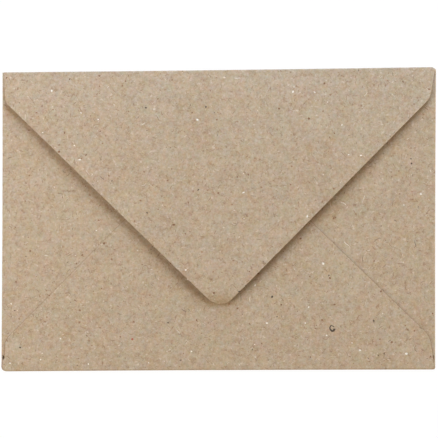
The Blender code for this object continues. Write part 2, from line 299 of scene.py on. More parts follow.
def paper_body_steps():
    """Gives a sheet its unevenness, its thickness on the inner side, and its finish. The unevenness is one
    field for the whole envelope, so layers that lie on each other stay on each other: low waves, edges that
    are bowed in, and a body that was folded a little out of square."""
    steps = Steps("paper_body", {
        "Thickness": PAPER, "Wave height": 0.0001, "Waves per metre": 22.0, "Wave seed": 3.0,
        "Half width": HALF_WIDTH, "Half height": HALF_HEIGHT, "Side bow": 0.00017, "Fold bow": 0.00014,
        "Skew": 0.0114, "Edge press": 0.0,
    })
    given = steps.given
    place = steps.add("GeometryNodeInputPosition")
    parts = steps.parts(place)
    shares, calm = [], []
    for axis, half in (("X", given["Half width"]), ("Y", given["Half height"])):
        distance = steps.size(parts[axis])
        shares.append(steps.math("MINIMUM", steps.math("DIVIDE", distance, half), 1.0))
        calm.append(steps.ramp(steps.minus(half, distance), WAVES_START, WAVES_FULL))
    plan = steps.vector("MULTIPLY", place, (1.0, 1.0, 0.0))
    wave = steps.noise(plan, given["Waves per metre"], 1.5, given["Wave seed"])[0]
    wave = steps.times(steps.minus(wave, 0.5), given["Wave height"])
    wave = steps.times(wave, steps.times(*calm))
    bows = []
    for axis, near, far, size in (("X", 0, 1, "Side bow"), ("Y", 1, 0, "Fold bow")):
        bow = steps.minus(1.0, steps.power(shares[far], 2.0))
        bow = steps.times(bow, steps.power(shares[near], BOW_FADE))
        bow = steps.times(bow, steps.times(given[size], -1.0))
        bows.append(steps.times(bow, steps.math("SIGN", parts[axis])))
    bows[0] = steps.plus(bows[0], steps.times(parts["Y"], given["Skew"]))
    sheet = steps.moved(given["Geometry"], Offset=steps.xyz(*bows, wave))

    inputs = {"Mesh": sheet, "Offset Scale": given["Thickness"], "Individual": False}
    walls = steps.add("GeometryNodeExtrudeMesh", inputs, mode="FACES")
    inner = walls.outputs["Top"]
    other_side = steps.vector("ADD", steps.marked("sheet_place", "FLOAT_VECTOR"), OTHER_FACE)
    walls = steps.mark(walls.outputs["Mesh"], "sheet_place", other_side, "FLOAT_VECTOR", inner)
    pressed = steps.xyz(z=steps.times(steps.marked("cut_edge"), given["Edge press"]))
    walls = steps.moved(walls, Selection=inner, Offset=pressed)
    outer = steps.add("GeometryNodeFlipFaces", {"Mesh": sheet})
    body = steps.welded(steps.joined(walls, outer))
    angle = steps.add("GeometryNodeInputMeshEdgeAngle").outputs["Unsigned Angle"]
    inputs = {"Geometry": body, "Shade Smooth": steps.math("LESS_THAN", angle, SHARP)}
    return steps.end(steps.add("GeometryNodeSetShadeSmooth", inputs, domain="EDGE"))


def run_steps(name, source, steps):
    """Runs a drawn pattern through Geometry Nodes trees with their sizes, and keeps the plain mesh."""
    pattern = bpy.data.objects.new(f"{name}_pattern", source)
    bpy.context.scene.collection.objects.link(pattern)
    for tree, sizes in steps:
        step = pattern.modifiers.new(tree.name, "NODES")
        step.node_group = tree
        for socket in tree.interface.items_tree:
            if socket.name in sizes:
                step[socket.identifier] = sizes[socket.name]
    graph = bpy.context.evaluated_depsgraph_get()
    mesh = bpy.data.meshes.new_from_object(pattern.evaluated_get(graph), depsgraph=graph)
    bpy.data.objects.remove(pattern)
    bpy.data.meshes.remove(source)
    mesh.name = name
    mesh.materials.clear()
    mesh.materials.append(steps[-1][1]["Material"])
    mesh.polygons.foreach_set("material_index", [0] * len(mesh.polygons))
    piece = bpy.data.objects.new(name, mesh)
    bpy.context.scene.collection.objects.link(piece)
    return piece


def cut_line(corners, fold_radius=0.0):
    """A drawn cut line through corners of (across, depth, radius). Depths start at the fold's outside."""
    drawn = bpy.data.meshes.new("cut_line")
    points = [(x, depth - fold_radius, 0.0) for x, depth, _ in corners]
    drawn.from_pydata(points, [(k, k + 1) for k in range(len(points) - 1)], [])
    radii = drawn.attributes.new("corner_radius", "FLOAT", "POINT")
    radii.data.foreach_set("value", [radius for _, _, radius in corners])
    return drawn


CUT_SHEET = cut_sheet_steps()
PAPER_BODY = paper_body_steps()
KRAFT = (0.504, 0.399, 0.280)
MATT = 0.9
RUBBED = 1.12  # how much paler the paper is where it is worn
THREAD_GONE, THREAD_WHOLE = 0.54, 0.66  # levels of the noise that breaks the fibre lines up


def kraft_paper(name, edge):
    """Recycled kraft: mixed pulp in soft clumps, the darker ones redder, with short curly fibres pressed into
    the face. The pattern lies on the cut sheet, so it runs on round the folds. Along a cut edge the colour is
    multiplied by the edge factors, which paint light there: painted shade or a painted highlight."""
    paint = Finish(name)
    place = paint.attribute("sheet_place", "Vector")
    cut = paint.attribute("cut_edge")
    worn = paint.attribute("worn")
    place = paint.scaled(place, MILLIMETRES)

    # Pulp: how light, how red and how yellow it is, each from its own channel of a noise
    pulp = (0.0, 0.0, 0.0)
    for per_mm, seed, amounts in (
        (0.03, 1.0, (0.16, 0.16, 0.24)),
        (0.12, 5.0, (0.46, 0.56, 0.52)),
        (0.36, 9.0, (0.77, 1.56, 1.74)),
        (0.90, 13.0, (1.24, 1.62, 1.80)),
        (1.90, 17.0, (1.26, 1.14, 1.40)),
    ):
        field = paint.scatter(place, per_mm, 1.0, seed, Distortion=0.3)
        pulp = paint.vector("ADD", pulp, paint.vector("MULTIPLY", field, amounts))
    pulp = paint.parts(pulp)
    tint = (1.0, 1.0, 1.0)
    for axis, amounts in (
        ("X", (0.275, 0.395, 0.51)),
        ("Y", (0.10, -0.03, -0.075)),
        ("Z", (0.0, 0.02, -0.12)),
    ):
        tint = paint.vector("ADD", tint, paint.scaled(amounts, pulp[axis]))
    shade = paint.vector("MULTIPLY", KRAFT, tint)

    # Fibres: thin curly lines where a noise crosses its middle, broken into short lengths
    threads = []
    for per_mm, seed, width, strength, fibre in (
        (0.42, 21.0, 0.028, 0.76, (0.26, 0.155, 0.085)),
        (0.60, 25.0, 0.045, 0.66, (0.33, 0.195, 0.105)),
        (0.50, 31.0, 0.034, 0.78, (0.72, 0.63, 0.51)),
    ):
        line = paint.noise(place, per_mm, 1.0, seed, Distortion=1.3)[0]
        line = paint.ramp(paint.size(paint.minus(line, 0.5)), 0.0, width, strength, 0.0)
        length = paint.noise(place, per_mm * 1.15, 1.0, seed + 2.0)[0]
        length = paint.ramp(length, THREAD_GONE, THREAD_WHOLE)
        threads.append(paint.times(line, length))
        shade = paint.mix(threads[-1], shade, fibre)

    # Painted light at the cut edges: the edge factors multiply the colour there, as painted shade or a
    # painted highlight.
    shade = paint.mix(cut, shade, paint.vector("MULTIPLY", shade, edge))
    shade = paint.mix(worn, shade, paint.scaled(shade, RUBBED))
    relief = paint.plus(pulp["X"], paint.plus(*threads[:2]))
    bump = paint.add("ShaderNodeBump", {"Height": relief, "Strength": 0.25, "Distance": 0.00005})
    inputs = {"Base Color": shade, "Roughness": MATT, "Normal": bump, "Specular IOR Level": 0.25}
    return paint.end(paint.add("ShaderNodeBsdfPrincipled", inputs))


kraft_front = kraft_paper("kraft_front", (0.9, 0.9, 0.9))

panel_half = HALF_WIDTH - SIDE_BEND
panel_height = 2 * HALF_HEIGHT - BOTTOM_BEND - TOP_BEND
corners = [
    (-panel_half + PANEL_CORNER, 0.0, 0.0),
    (-panel_half, 0.0, PANEL_CORNER),
    (-panel_half, panel_height, PANEL_CORNER),
    (panel_half, panel_height, PANEL_CORNER),
    (panel_half, 0.0, PANEL_CORNER),
    (panel_half - PANEL_CORNER, 0.0, 0.0),
]
side_length = panel_height + (math.pi - 3) * PANEL_CORNER
share_of_side = side_length / (2 * side_length + 2 * panel_half - 2 * PANEL_CORNER)
front_panel = run_steps("front_panel_sheet", cut_line(corners), [
    (CUT_SHEET, {
        "Rows": 90, "Columns": 120, "Share to tip": share_of_side, "Share from tip": share_of_side,
        "Cut all round": False, "Fold middle": BOTTOM_FOLD, "Fold heading": UP, "Folded over": False,
    }),
    (PAPER_BODY, {"Material": kraft_front}),
])
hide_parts("front_panel")
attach(front_panel, "envelope")

# Side creases. Where the sheet turns up at its left and right side, bent round without being pressed sharp.
# The fibres on the outside of each bend are stretched and rubbed paler.
CREASE_LENGTH = 0.16  # about, for the crinkles' grain
CRINKLES_PER_METRE = 900.0
CRINKLE_LEVEL = 0.7  # the noise's level that leaves the bend as it is: most of it dents inwards
CROWN_WEAR = 0.45
WORN_END = 0.002  # of the crease's length


def turned_crease_steps():
    """Half a turn of paper along a fold, from start to end. It rounds off towards the envelope's corners."""
    steps = Steps("turned_crease", {
        "Start": -0.08, "End": 0.08, "Fold radius": SIDE_BEND, "Rows": 200, "Turns": 16,
        "Start corner": -0.0805, "End corner": 0.0805, "Start rounding": 0.0005, "End rounding": 0.0005,
        "Fold middle": Vector(), "Fold heading": UP, "Crinkle": 0.00002, "Crinkle seed": 1.0,
    })
    given = steps.given
    grid, place = steps.grid(given["Rows"], given["Turns"])
    across = steps.ramp(place["X"], -0.5, 0.5, given["Start"], given["End"], smooth=False)
    angle = steps.times(place["Y"], math.pi)
    radius = given["Fold radius"]
    inset = 0.0
    for end in ("Start", "End"):
        rounding = given[f"{end} rounding"]
        distance = steps.size(steps.minus(across, given[f"{end} corner"]))
        left = steps.math("MAXIMUM", steps.minus(rounding, distance), 0.0)
        square = steps.minus(steps.power(rounding, 2.0), steps.power(left, 2.0))
        inset = steps.plus(inset, steps.minus(rounding, steps.math("SQRT", square)))
    crinkled = steps.scaled(steps.add("GeometryNodeInputPosition"), CREASE_LENGTH)
    crinkle = steps.noise(crinkled, CRINKLES_PER_METRE, 2.0, given["Crinkle seed"])[0]
    crown = steps.math("COSINE", angle)
    dent = steps.times(steps.times(steps.minus(crinkle, CRINKLE_LEVEL), crown), given["Crinkle"])
    bulge = steps.times(steps.plus(radius, dent), crown)
    bulge = steps.math("MAXIMUM", steps.minus(bulge, inset), 0.0)
    height = steps.times(radius, steps.plus(steps.math("SINE", angle), 1.0))
    axes = heading_axes(steps, given["Fold heading"])
    folded = placed(steps, given["Fold middle"], *axes, across, bulge, height)
    run = steps.times(radius, steps.plus(angle, math.pi / 2))
    flat = placed(steps, given["Fold middle"], *axes, across, run, 0.0)
    ends = steps.minus(0.5, steps.size(place["X"]))
    worn = steps.times(steps.power(steps.math("MAXIMUM", crown, 0.0), 3.0), CROWN_WEAR)
    worn = steps.math("MAXIMUM", worn, steps.ramp(ends, 0.0, WORN_END, 1.0, 0.0))
    sheet = steps.mark(grid, "sheet_place", flat, "FLOAT_VECTOR")
    sheet = steps.mark(sheet, "worn", worn)
    return steps.end(steps.moved(sheet, Position=folded))


TURNED_CREASE = turned_crease_steps()
# Its cut edges are darkened to brown by the edge factors: painted shade, the thin shadow line along the seams
# and the flaps' edges.
kraft_back = kraft_paper("kraft_back", (0.50, 0.37, 0.25))


def empty_pattern():
    return bpy.data.meshes.new("no_pattern")


for name, heading, start, end, roundings in (
    ("left_crease", LEFT, BOTTOM_BEND - HALF_HEIGHT, HALF_HEIGHT - 0.0001, (0.0019, 0.0002)),
    ("right_crease", RIGHT, TOP_BEND - HALF_HEIGHT, HALF_HEIGHT - BOTTOM_BEND, (0.0015, 0.0006)),
):
    side = math.cos(heading)
    crease = run_steps(f"{name}_sheet", empty_pattern(), [
        (TURNED_CREASE, {
            "Start": start, "End": end, "Start corner": -HALF_HEIGHT, "End corner": HALF_HEIGHT,
            "Start rounding": roundings[0], "End rounding": roundings[1],
            "Fold radius": SIDE_BEND, "Fold heading": heading, "Crinkle seed": 2.0 + side,
            "Fold middle": Vector((side * panel_half, 0.0, 0.0)),
        }),
        (PAPER_BODY, {"Material": kraft_back}),
    ])
    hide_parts(name)
    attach(crease, "envelope")

# Side flaps. They are turned in first, one from each side, and lie under the bottom flap. Their upper edges
# are hidden by the closing flap, and show when it is open.
SIDE_TOP = 2 * SIDE_BEND
LEFT_SEAM = (0.09290, 0.9959)  # height above the bottom crease at the middle of the envelope, and slope
RIGHT_SEAM = (0.09074, 0.9683)
SEAM_LAP = 0.0075
SIDE_APEX = 0.062
SIDE_TIP_RADIUS = 0.008
SIDE_TOP_CUT = 0.0010
FOOT_WIDTH = 0.003
FOOT_RADIUS = 0.004
EDGE_PRESS = 0.00002  # what the die takes off the sheet's thickness at a cut edge
# The cut margin of the side and bottom flaps. It also sets how wide the painted shade along their cut edges
# runs.
SOFT_EDGE = 0.00028
PRESSED = {"Edge press": EDGE_PRESS, "Cut margin": SOFT_EDGE}

for name, heading, (middle_height, slope), foot in (
    ("left_side_flap", LEFT, LEFT_SEAM, 0.0062),
    ("right_side_flap", RIGHT, RIGHT_SEAM, 0.0052),
):
    side = math.cos(heading)
    low_line = middle_height - SEAM_LAP * math.hypot(1.0, slope) - HALF_HEIGHT
    apex = HALF_WIDTH - SIDE_APEX
    corners = [
        (foot - HALF_HEIGHT, 0.0, 0.0),
        (low_line - slope * (panel_half - FOOT_WIDTH), FOOT_WIDTH, FOOT_RADIUS),
        (low_line - slope * apex, panel_half - apex, SIDE_TIP_RADIUS),
        (HALF_HEIGHT - SIDE_TOP_CUT, 0.0, 0.0),
    ]
    if side > 0:
        corners = [(-across, depth, radius) for across, depth, radius in reversed(corners)]
    flap = run_steps(f"{name}_sheet", cut_line(corners), [
        (CUT_SHEET, {
            "Rows": 70, "Columns": 80, **PRESSED, "Fold radius": SIDE_BEND, "Fold heading": heading,
            "Fold middle": Vector((side * panel_half, 0.0, 0.0)), "Height at fold": SIDE_TOP,
            "Height at tip": SIDE_TOP, "Tip depth": panel_half - apex,
        }),
        (PAPER_BODY, {"Edge press": EDGE_PRESS, "Material": kraft_back}),
    ])
    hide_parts(name)
    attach(flap, "envelope")

# Bottom crease. Where the sheet turns up at its bottom edge. It is the same bent paper, a little wider round
# than the side creases, because the two side flaps lie inside it.
BOTTOM_TURN = {"Fold radius": BOTTOM_BEND, "Fold heading": DOWN, "Fold middle": BOTTOM_FOLD}

bottom_crease = run_steps("bottom_crease_sheet", empty_pattern(), [
    (TURNED_CREASE, {
        "Start": -0.0822, "End": 0.0820, "Start corner": -HALF_WIDTH, "End corner": HALF_WIDTH,
        "Start rounding": 0.0006, "End rounding": 0.0019, "Crinkle seed": 6.0, **BOTTOM_TURN,
    }),
    (PAPER_BODY, {"Material": kraft_back}),
])
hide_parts("bottom_crease")
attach(bottom_crease, "envelope")

# Bottom flap. It is turned up last and glued to both side flaps. Its cut edges are the two faint lines that
# run from the lower corners up under the closing flap: a real step in the paper, with painted shade along it.
BOTTOM_TOP = 2 * BOTTOM_BEND

bottom_corners = [
    (-0.0821, BOTTOM_BEND, 0.0),
    (-0.08203, 0.0029, 0.003),
    (-0.08053, 0.01276, 0.007),
    (0.00110, 0.09181, 0.020),
    (0.08130, 0.01194, 0.006),
    (0.08130, 0.0050, 0.0005),
    (0.0821, 0.0043, 0.0005),
    (0.08225, 0.0018, 0.0006),
    (0.0821, 0.0011, 0.0003),
    (0.08177, BOTTOM_BEND, 0.0),
]
bottom_flap = run_steps("bottom_flap_sheet", cut_line(bottom_corners, BOTTOM_BEND), [
    (CUT_SHEET, {
        "Rows": 240, "Columns": 50, **PRESSED, **BOTTOM_TURN, "Height at fold": BOTTOM_TOP,
        "Height at tip": BOTTOM_TOP, "Tip depth": 0.082,
    }),
    (PAPER_BODY, {"Edge press": EDGE_PRESS, "Material": kraft_back}),
])
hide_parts("bottom_flap")
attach(bottom_flap, "envelope")

# Seam glue. A thin film of dried paste in each lap, pressed out between the side flap and the bottom flap.
# It was brushed on as a straight band along the flap's edge, and stops short of the lap's ends.
GLUE_FILM = 0.00002
GLUE_MARGIN = 0.0015
GLUE_ENDS = (0.076, 0.030)  # how far from the middle of the envelope the paste starts and stops
SATIN = 0.5
BRUSHED = (0.06, 0.7, 0.7)  # streaks to a millimetre, long ones along the envelope


def paste(name, colour):
    """Dried paste or gum, thin enough for the pulp to show through, and brushed on in faint streaks."""
    paint = Finish(name)
    place = paint.scaled(paint.attribute("sheet_place", "Vector"), MILLIMETRES)
    pulp = paint.noise(place, 0.9, 4.0)[0]
    streak = paint.noise(paint.vector("MULTIPLY", place, BRUSHED), 1.0, 3.0)[0]
    shade = paint.scaled(colour, paint.ramp(pulp, 0.2, 0.8, 0.86, 1.12, smooth=False))
    shade = paint.scaled(shade, paint.ramp(streak, 0.3, 0.7, 0.97, 1.03))
    height = paint.plus(streak, paint.times(pulp, 0.4))
    bump = paint.add("ShaderNodeBump", {"Height": height, "Strength": 0.12, "Distance": 0.00004})
    rough = paint.ramp(streak, 0.3, 0.7, SATIN * 0.85, SATIN * 1.2)
    inputs = {"Base Color": shade, "Roughness": rough, "Normal": bump, "Specular IOR Level": 0.08}
    return paint.end(paint.add("ShaderNodeBsdfPrincipled", inputs))


seam_paste = paste("seam_paste", (0.55, 0.46, 0.33))
for name, side, (middle_height, slope) in (
    ("left_seam_glue", -1, LEFT_SEAM),
    ("right_seam_glue", 1, RIGHT_SEAM),
):
    rise = math.hypot(1.0, slope)
    near, far = (middle_height - inset * rise for inset in (GLUE_MARGIN, SEAM_LAP - GLUE_MARGIN))
    line = [(side * -x, near - slope * x) for x in GLUE_ENDS]
    line += [(side * -x, far - slope * x) for x in reversed(GLUE_ENDS)]
    if side < 0:
        line = line[1::-1] + line[:1:-1]
    drawn = cut_line([(x, y, 0.0) for x, y in line], BOTTOM_BEND)
    glue_length = (GLUE_ENDS[0] - GLUE_ENDS[1]) * rise
    share = glue_length / (2 * glue_length + abs(far - near))
    film = run_steps(f"{name}_film", drawn, [
        (CUT_SHEET, {
            "Rows": 60, "Columns": 8, "Share to tip": share, "Share from tip": share, **BOTTOM_TURN,
            "Height at fold": SIDE_TOP + GLUE_FILM, "Height at tip": SIDE_TOP + GLUE_FILM,
        }),
        (PAPER_BODY, {"Thickness": GLUE_FILM, "Material": seam_paste}),
    ])
    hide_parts(name)
    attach(film, "envelope")

# Top crease. The closing flap's paper hinge, between the front panel and the flap. It bends when the flap
# opens.
fold_y = HALF_HEIGHT - TOP_BEND
TOP_TURN = {"Fold radius": TOP_BEND, "Fold heading": UP, "Fold middle": Vector((0.0, fold_y, 0.0))}

# Its cut edges are made 12 % paler by the edge factors: a painted highlight where the flap's edge catches the
# light.
kraft_flap = kraft_paper("kraft_flap", (1.12, 1.12, 1.12))
top_crease = run_steps("top_crease_sheet", empty_pattern(), [
    (TURNED_CREASE, {
        "Start": -0.0818, "End": 0.0820, "Start corner": -0.0821, "End corner": 0.0823,
        "Start rounding": 0.0003, "End rounding": 0.0016, "Crinkle": 0.0, "Turns": 20, **TOP_TURN,
    }),
    (PAPER_BODY, {"Material": kraft_flap}),
])
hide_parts("top_crease")
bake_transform(top_crease)

# Closing flap. The deep pointed flap, turned down over the back and left loose. It springs up in a low arch
# between its crease and its tip, which rests on the bottom flap.
ARCH = {"Arch rise": 0.0022, "Arch crest": 0.85, "Arch lift": 4.0, "Arch drop": 5.5, "Arch lean": 0.008}
FLAP_DEPTH = 0.0894
TIP_DEPTH = FLAP_DEPTH - TOP_BEND
TIP_GAP = 0.00014  # between the tip and the bottom flap
TIP_HEIGHT = BOTTOM_TOP + TIP_GAP + PAPER

closure_corners = [
    (-0.0817, TOP_BEND, 0.0),
    (-0.0810, 0.01162, 0.003),
    (0.00131, 0.0915, 0.006),
    (0.0801, 0.01183, 0.007),
    (0.08185, 0.0018, 0.0012),
    (0.0820, TOP_BEND, 0.0),
]
closure_flap = run_steps("closure_flap_sheet", cut_line(closure_corners, TOP_BEND), [
    (CUT_SHEET, {
        "Rows": 130, "Columns": 120, "Edge press": EDGE_PRESS, **TOP_TURN, **ARCH,
        "Height at fold": 2 * TOP_BEND, "Height at tip": TIP_HEIGHT, "Tip depth": TIP_DEPTH,
    }),
    (PAPER_BODY, {"Edge press": EDGE_PRESS, "Material": kraft_flap}),
])
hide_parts("closure_flap")
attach(closure_flap, "flap")

# Flap gum. A dry, faintly satin band of remoistenable gum, brushed along the inside of the flap's two long
# edges.
GUM_FILM = 0.00008
GUM_SOAK = 0.00002
GUM_MARGIN = 0.002
GUM_WIDTH = 0.012
GUM_START = 0.014
GUM_TIP_RADIUS = 0.0038
LEG_SLOPE = 0.994  # of the flap's long edges
LEGS_MEET = 0.09166  # the depth at which they would meet
GUM_LEAN = 0.0010  # and how far to the right of the middle

gum = paste("flap_gum", (0.45, 0.355, 0.24))
leg = math.hypot(1.0, LEG_SLOPE)
outer_apex = LEGS_MEET - GUM_MARGIN * leg
inner_apex = outer_apex - GUM_WIDTH * leg
outer_half, inner_half = ((apex - GUM_START) / LEG_SLOPE for apex in (outer_apex, inner_apex))
gum_corners = [
    (-outer_half, GUM_START, 0.0),
    (GUM_LEAN, outer_apex, GUM_TIP_RADIUS),
    (outer_half, GUM_START, 0.0),
    (inner_half, GUM_START, 0.0),
    (GUM_LEAN, inner_apex, 0.0),
    (-inner_half, GUM_START, 0.0),
]
outer_length = 2 * math.hypot(outer_half, outer_apex - GUM_START)
inner_length = 2 * math.hypot(inner_half, inner_apex - GUM_START)
gum_total = outer_length + inner_length + outer_half - inner_half
flap_gum = run_steps("flap_gum_band", cut_line(gum_corners, TOP_BEND), [
    (CUT_SHEET, {
        "Rows": 260, "Columns": 14, "Share to tip": outer_length / gum_total,
        "Share from tip": inner_length / gum_total, **TOP_TURN, **ARCH, "Tip depth": TIP_DEPTH,
        "Height at fold": 2 * TOP_BEND - PAPER + GUM_SOAK, "Height at tip": TIP_HEIGHT - PAPER + GUM_SOAK,
    }),
    (PAPER_BODY, {"Thickness": GUM_FILM, "Material": gum}),
])
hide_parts("flap_gum")
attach(flap_gum, "flap")

# Stray fibres and flecks. What recycled pulp leaves in the faces of the sheet: short curled fibres, brown,
# reddish or pale, bits of bark and print, and white chips. They lie half sunk in the paper, on both its
# sides.
FULL_TURN = 6.2832
LEVEL = 0.7  # a sheet's faces are more level than this, and its cut edges less
CURLS_PER_METRE = 520.0
SEED_STEP = 3.7
LIFT = 0.00025  # what a curled fibre is raised off its face, before it is laid back on the nearest one
END_TAPER = 0.75
RAGS_PER_METRE = 2600.0
FLECK_RAGS = (0.0004, 0.0004, 0.0)


def pressed_in(steps, curve, sheet, sides, width, taper):
    """Lays a curve on a sheet's nearest face, half sunk, and gives it a flat round body."""
    near = steps.add("GeometryNodeProximity", {"Geometry": sheet}, target_element="FACES")
    curve = steps.moved(curve, Position=near.outputs["Position"])
    curve = steps.add("GeometryNodeSetCurveNormal", {"Curve": curve}, mode="Z_UP")
    around = steps.add("GeometryNodeCurvePrimitiveCircle", {"Resolution": sides, "Radius": 0.5})
    inputs = {"Geometry": around, "Scale": steps.xyz(width, steps.given["Body"], 1.0)}
    around = steps.add("GeometryNodeTransform", inputs)
    inputs = {"Curve": curve, "Profile Curve": around, "Scale": taper, "Fill Caps": True}
    return steps.add("GeometryNodeCurveToMesh", inputs)


def stray_pulp_steps():
    """Strews fibres and flecks over a sheet's two faces. The drawn points are more flecks, each with its own
    size and kind. A kind is a shade, from dark (0) over brown to pale and white, and last a dyed red (1)."""
    steps = Steps("stray_pulp", {
        "Sheet": None, "Seed": 1, "Fibres per square metre": 80000.0, "Fibre length": 0.0019,
        "Fibre width": 0.00013, "Curl": 0.0016, "Flecks per square metre": 36000.0, "Fleck size": 0.00056,
        "Body": 0.00003,
    })
    given = steps.given
    sheet = steps.add("GeometryNodeObjectInfo", {"Object": given["Sheet"]}).outputs["Geometry"]
    level = steps.size(steps.parts(steps.add("GeometryNodeInputNormal"))["Z"])
    faces = steps.math("GREATER_THAN", level, LEVEL)

    def random(low, high, salt):
        inputs = {"Min": low, "Max": high, "Seed": steps.plus(given["Seed"], salt)}
        node = steps.add("FunctionNodeRandomValue", data_type="FLOAT")
        for socket in node.inputs:
            if socket.enabled and socket.name in inputs:
                steps.give(socket, inputs[socket.name])
        return next(socket for socket in node.outputs if socket.enabled)

    def strewn(per_area, salt):
        inputs = {"Mesh": sheet, "Selection": faces, "Seed": steps.plus(given["Seed"], salt)}
        node = steps.add("GeometryNodeDistributePointsOnFaces", inputs, distribute_method="RANDOM")
        density = next(socket for socket in node.inputs if socket.name == "Density" and socket.enabled)
        steps.give(density, per_area)
        return node.outputs

    def turned(rotation, salt):
        inputs = {"Axis": (0, 0, 1), "Angle": random(0.0, FULL_TURN, salt)}
        turn = steps.add("FunctionNodeAxisAngleToRotation", inputs)
        inputs = {"Rotation": rotation, "Rotate By": turn}
        return steps.add("FunctionNodeRotateRotation", inputs, rotation_space="LOCAL")

    # Fibres: straight lines strewn on the faces, curled, laid back on the sheet, and given a flat round body
    strewing = strewn(given["Fibres per square metre"], 10)
    points = steps.mark(strewing["Points"], "outward", strewing["Normal"], "FLOAT_VECTOR")
    points = steps.mark(points, "kind", random(0.06, 0.885, 20))
    points = steps.mark(points, "breadth", random(0.6, 1.3, 30))
    straight = steps.add("GeometryNodeCurvePrimitiveLine", {"Start": (-0.5, 0, 0), "End": (0.5, 0, 0)})
    straight = steps.add("GeometryNodeResampleCurve", {"Curve": straight, "Count": 7})
    length = steps.times(steps.power(random(0.35, 1.15, 40), 2.2), given["Fibre length"])
    inputs = {"Points": points, "Instance": straight, "Scale": steps.xyz(length, 1.0, 1.0),
              "Rotation": turned(strewing["Rotation"], 50)}
    fibres = steps.realized(steps.add("GeometryNodeInstanceOnPoints", inputs))
    place = steps.add("GeometryNodeInputPosition")
    curl = steps.scatter(place, CURLS_PER_METRE, 1.0, steps.times(given["Seed"], SEED_STEP))
    curl = steps.scaled(curl, given["Curl"])
    curl = steps.vector("MULTIPLY", curl, (1.0, 1.0, 0.0))
    off = steps.scaled(steps.marked("outward", "FLOAT_VECTOR"), LIFT)
    fibres = steps.moved(fibres, Offset=steps.vector("ADD", curl, off))
    along = steps.add("GeometryNodeSplineParameter").outputs["Factor"]
    along = steps.minus(steps.times(along, 2.0), 1.0)
    taper = steps.minus(1.0, steps.times(steps.power(steps.size(along), 3.0), END_TAPER))
    taper = steps.times(taper, steps.marked("breadth"))
    fibres = pressed_in(steps, fibres, sheet, 4, given["Fibre width"], taper)

    # Flecks: ragged flat chips, strewn ones and drawn ones
    strewing = strewn(given["Flecks per square metre"], 60)
    chips = steps.mark(strewing["Points"], "kind", random(0.0, 0.995, 70))
    spread = steps.power(random(0.45, 1.3, 80), 2.0)
    chips = steps.mark(chips, "fleck_size", steps.times(spread, given["Fleck size"]))
    chips = steps.mark(chips, "turn", turned(strewing["Rotation"], 90), "QUATERNION")
    drawn = steps.add("GeometryNodeMeshToPoints", {"Mesh": given["Geometry"]})
    inputs = {"Target Geometry": sheet, "Ray Direction": (0, 0, -1), "Ray Length": 1.0}
    beam = steps.add("GeometryNodeRaycast", inputs).outputs
    drawn = steps.moved(drawn, Position=beam["Hit Position"])
    upright = steps.add("FunctionNodeAlignRotationToVector", {"Vector": beam["Hit Normal"]}, axis="Z")
    drawn = steps.mark(drawn, "turn", upright, "QUATERNION")
    inputs = {"Vertices": 9, "Radius": 0.5, "Depth": 1.0}
    chip = steps.add("GeometryNodeMeshCylinder", inputs).outputs["Mesh"]
    wide = steps.marked("fleck_size")
    narrow = steps.times(wide, random(0.35, 0.95, 100))
    inputs = {"Points": steps.joined(drawn, chips), "Instance": chip,
              "Scale": steps.xyz(wide, narrow, given["Body"]), "Rotation": steps.marked("turn", "QUATERNION")}
    flecks = steps.realized(steps.add("GeometryNodeInstanceOnPoints", inputs))
    ragged = steps.vector("MULTIPLY", steps.scatter(place, RAGS_PER_METRE, 1.0), FLECK_RAGS)
    return steps.end(steps.joined(fibres, steps.moved(flecks, Offset=ragged)))


def pulp_bits(name, shades):
    """One material for every stray fibre and fleck. Its shade follows the bit's kind, a little unevenly."""
    paint = Finish(name)
    ramp = paint.add("ShaderNodeValToRGB", {"Fac": paint.attribute("kind")})
    ramp.color_ramp.interpolation = "CONSTANT"
    stops = ramp.color_ramp.elements
    for k, (start, shade) in enumerate(shades):
        stop = stops[k] if k < len(stops) else stops.new(start)
        stop.position = start
        stop.color = (*shade, 1.0)
    place = paint.add("ShaderNodeTexCoord").outputs["Object"]
    uneven = paint.ramp(paint.noise(place, 1500.0, 2.0)[0], 0.3, 0.7, 0.8, 1.2)
    inputs = {"Base Color": paint.scaled(ramp.outputs["Color"], uneven), "Roughness": 0.85}
    return paint.end(paint.add("ShaderNodeBsdfPrincipled", inputs))


def curled_sliver_steps():
    """A sliver of bark, curled into an open ring and pressed flat on a sheet."""
    steps = Steps("curled_sliver", {
        "Sheet": None, "Middle": Vector(), "Radius": 0.0008, "Share of ring": 0.92, "Turn": 0.4,
        "Width": 0.0007, "Body": 0.00004, "Kind": 0.03, "Raggedness": 0.0005,
    })
    given = steps.given
    ring = steps.add("GeometryNodeCurvePrimitiveCircle", {"Resolution": 26, "Radius": given["Radius"]})
    ring = steps.add("GeometryNodeTrimCurve", {"Curve": ring, "End": given["Share of ring"]}, mode="FACTOR")
    inputs = {"Geometry": ring, "Translation": given["Middle"], "Rotation": steps.xyz(z=given["Turn"]),
              "Scale": (1.0, 1.25, 1.0)}
    ring = steps.add("GeometryNodeTransform", inputs)
    ragged = steps.scatter(steps.add("GeometryNodeInputPosition"), 1500.0, 2.0)
    ring = steps.moved(ring, Offset=steps.scaled(ragged, given["Raggedness"]))
    sheet = steps.add("GeometryNodeObjectInfo", {"Object": given["Sheet"]}).outputs["Geometry"]
    along = steps.add("GeometryNodeSplineParameter").outputs["Factor"]
    taper = steps.ramp(along, 0.0, 1.0, 0.45, 1.2)
    sliver = pressed_in(steps, ring, sheet, 6, given["Width"], taper)
    return steps.end(steps.mark(sliver, "kind", given["Kind"]))


